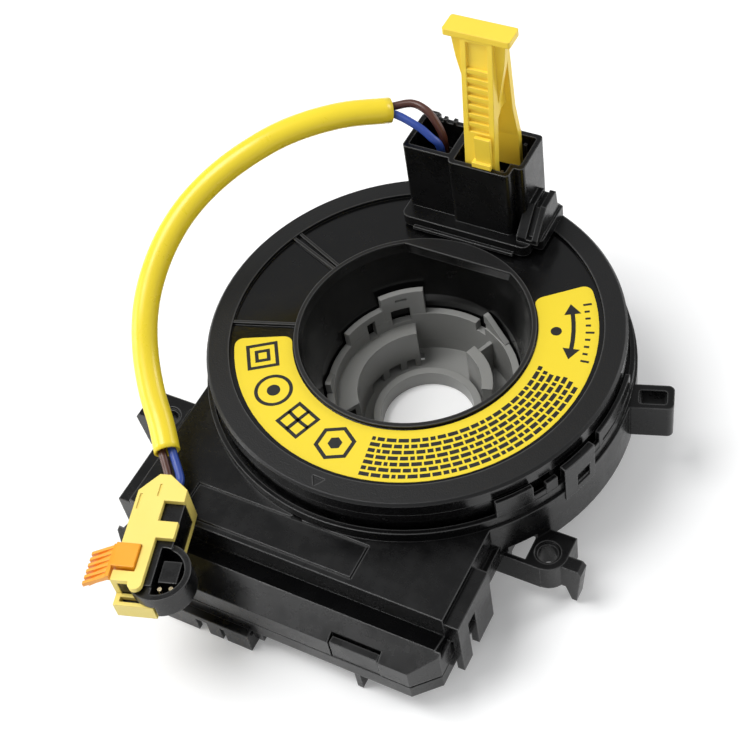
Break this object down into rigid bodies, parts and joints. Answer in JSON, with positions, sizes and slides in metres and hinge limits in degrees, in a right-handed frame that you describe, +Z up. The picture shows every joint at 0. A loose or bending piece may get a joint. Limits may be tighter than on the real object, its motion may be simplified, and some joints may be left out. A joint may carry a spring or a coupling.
{
  "type": "steering clock spring",
  "caption": "Round steering-column coil unit: a turning rotor with a socket tower and plug lead over a fixed stator box, joined by a wound flat cable.",
  "frame": {"origin": "centre of the steering shaft's bore at the hub's lower face, which is the lowest plane of the part", "axes": "+Z up along the rotor's axis, +Y from the box towards the socket tower, +X to the right"},
  "size_m": [0.126, 0.1414, 0.0955],
  "materials": {
    "rotor_disc": "satin black",
    "connector_tower": "satin black",
    "tower_pins": "plated",
    "label_film": "printed yellow film",
    "cancel_hub": "satin grey",
    "hub_base": "satin grey",
    "inner_lead_block": "matt black",
    "lock_lever": "satin yellow",
    "lead_sleeve": "satin yellow",
    "blue_wire_top": "satin blue",
    "brown_wire_top": "satin brown",
    "blue_wire_end": "satin blue",
    "brown_wire_end": "satin brown",
    "plug_shell": "satin yellow",
    "plug_core": "satin black",
    "plug_contacts": "plated",
    "plug_lock": "satin orange",
    "stator_case": "satin black",
    "lower_cover": "satin black",
    "flat_cable": "laminated film",
    "slip_sheet": "smooth film",
    "outer_lead_block": "matt black",
    "harness_socket": "satin black",
    "harness_pins": "plated"
  },
  "bodies": {
    "stator": {"stator_case": "stator_case", "lower_cover": "lower_cover", "flat_cable": "flat_cable", "slip_sheet": "slip_sheet", "outer_lead_block": "outer_lead_block", "harness_socket": "harness_socket", "harness_pins": "harness_pins"},
    "rotor": {"rotor_disc": "rotor_disc", "connector_tower": "connector_tower", "tower_pins": "tower_pins", "label_film": "label_film", "cancel_hub": "cancel_hub", "hub_base": "hub_base", "inner_lead_block": "inner_lead_block", "lead_sleeve": "lead_sleeve", "blue_wire_top": "blue_wire_top", "brown_wire_top": "brown_wire_top", "blue_wire_end": "blue_wire_end", "brown_wire_end": "brown_wire_end", "plug_shell": "plug_shell", "plug_core": "plug_core", "plug_contacts": "plug_contacts"},
    "lock_lever": {"lock_lever": "lock_lever"},
    "plug_lock": {"plug_lock": "plug_lock"}
  },
  "joints": [
    {"name": "rotor_turn", "type": "hinge", "parent": "stator", "child": "rotor", "pos_m": [0, 0, 0.02], "axis": [0, 0, 1], "range_deg": [-720, 720]},
    {"name": "lever_pull", "type": "slide", "parent": "rotor", "child": "lock_lever", "axis": [0, 0, 1], "range_m": [0, 0.03]},
    {"name": "lock_slide", "type": "slide", "parent": "rotor", "child": "plug_lock", "axis": [-0.9563, -0.2924, 0], "range_m": [0, 0.003]}
  ]
}
